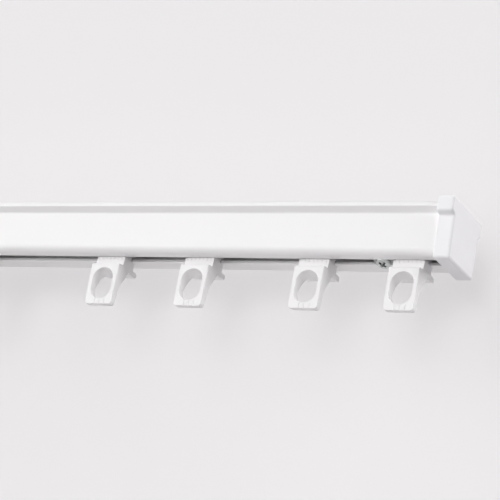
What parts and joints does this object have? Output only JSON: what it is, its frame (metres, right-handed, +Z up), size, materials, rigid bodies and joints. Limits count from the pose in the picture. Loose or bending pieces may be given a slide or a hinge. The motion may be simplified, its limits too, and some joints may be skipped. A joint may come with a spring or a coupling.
{
  "type": "curtain track",
  "caption": "Straight curtain track: white rail with a flat front and a slot below, end caps, sliding carriers with oval eyes, and a clamped stop near each end.",
  "frame": {"origin": "middle of the rail's flat top", "axes": "+X along the rail to the right, -Y towards the room, +Z up"},
  "size_m": [0.6, 0.036, 0.0492],
  "materials": {
    "rail_lacquer": "satin white lacquer on an aluminium extrusion",
    "cap_plastic": "white injection moulding, satin",
    "carrier_plastic": "white acetal, slightly translucent",
    "stop_zinc": "bare zinc die casting",
    "screw_zinc": "bright zinc plating"
  },
  "bodies": {
    "track": {"rail": "rail_lacquer", "end_cap_right": "cap_plastic", "end_cap_left": "cap_plastic", "end_stop_right": "stop_zinc", "end_stop_left": "stop_zinc", "stop_screw_right": "screw_zinc", "stop_screw_left": "screw_zinc"},
    "carrier_01": {"carrier_01": "carrier_plastic"},
    "carrier_02": {"carrier_02": "carrier_plastic"},
    "carrier_03": {"carrier_03": "carrier_plastic"},
    "carrier_04": {"carrier_04": "carrier_plastic"},
    "carrier_05": {"carrier_05": "carrier_plastic"},
    "carrier_06": {"carrier_06": "carrier_plastic"},
    "carrier_07": {"carrier_07": "carrier_plastic"},
    "carrier_08": {"carrier_08": "carrier_plastic"},
    "carrier_09": {"carrier_09": "carrier_plastic"},
    "carrier_10": {"carrier_10": "carrier_plastic"},
    "carrier_11": {"carrier_11": "carrier_plastic"},
    "carrier_12": {"carrier_12": "carrier_plastic"}
  },
  "joints": [
    {"name": "carrier_01_slide", "type": "slide", "parent": "track", "child": "carrier_01", "axis": [1, 0, 0], "range_m": [-0.00145, 0.00675]},
    {"name": "carrier_02_slide", "type": "slide", "parent": "track", "child": "carrier_02", "axis": [1, 0, 0], "range_m": [-0.0208, 0.01895]},
    {"name": "carrier_03_slide", "type": "slide", "parent": "track", "child": "carrier_03", "axis": [1, 0, 0], "range_m": [-0.01555, 0.0208]},
    {"name": "carrier_04_slide", "type": "slide", "parent": "track", "child": "carrier_04", "axis": [1, 0, 0], "range_m": [-0.0307, 0.01555]},
    {"name": "carrier_05_slide", "type": "slide", "parent": "track", "child": "carrier_05", "axis": [1, 0, 0], "range_m": [-0.0137, 0.0307]},
    {"name": "carrier_06_slide", "type": "slide", "parent": "track", "child": "carrier_06", "axis": [1, 0, 0], "range_m": [-0.0182, 0.0137]},
    {"name": "carrier_07_slide", "type": "slide", "parent": "track", "child": "carrier_07", "axis": [1, 0, 0], "range_m": [-0.0127, 0.0182]},
    {"name": "carrier_08_slide", "type": "slide", "parent": "track", "child": "carrier_08", "axis": [1, 0, 0], "range_m": [-0.0167, 0.0127]},
    {"name": "carrier_09_slide", "type": "slide", "parent": "track", "child": "carrier_09", "axis": [1, 0, 0], "range_m": [-0.0142, 0.0167]},
    {"name": "carrier_10_slide", "type": "slide", "parent": "track", "child": "carrier_10", "axis": [1, 0, 0], "range_m": [-0.0172, 0.0142]},
    {"name": "carrier_11_slide", "type": "slide", "parent": "track", "child": "carrier_11", "axis": [1, 0, 0], "range_m": [-0.03645, 0.0172]},
    {"name": "carrier_12_slide", "type": "slide", "parent": "track", "child": "carrier_12", "axis": [1, 0, 0], "range_m": [-0.00675, 0.00145]}
  ]
}
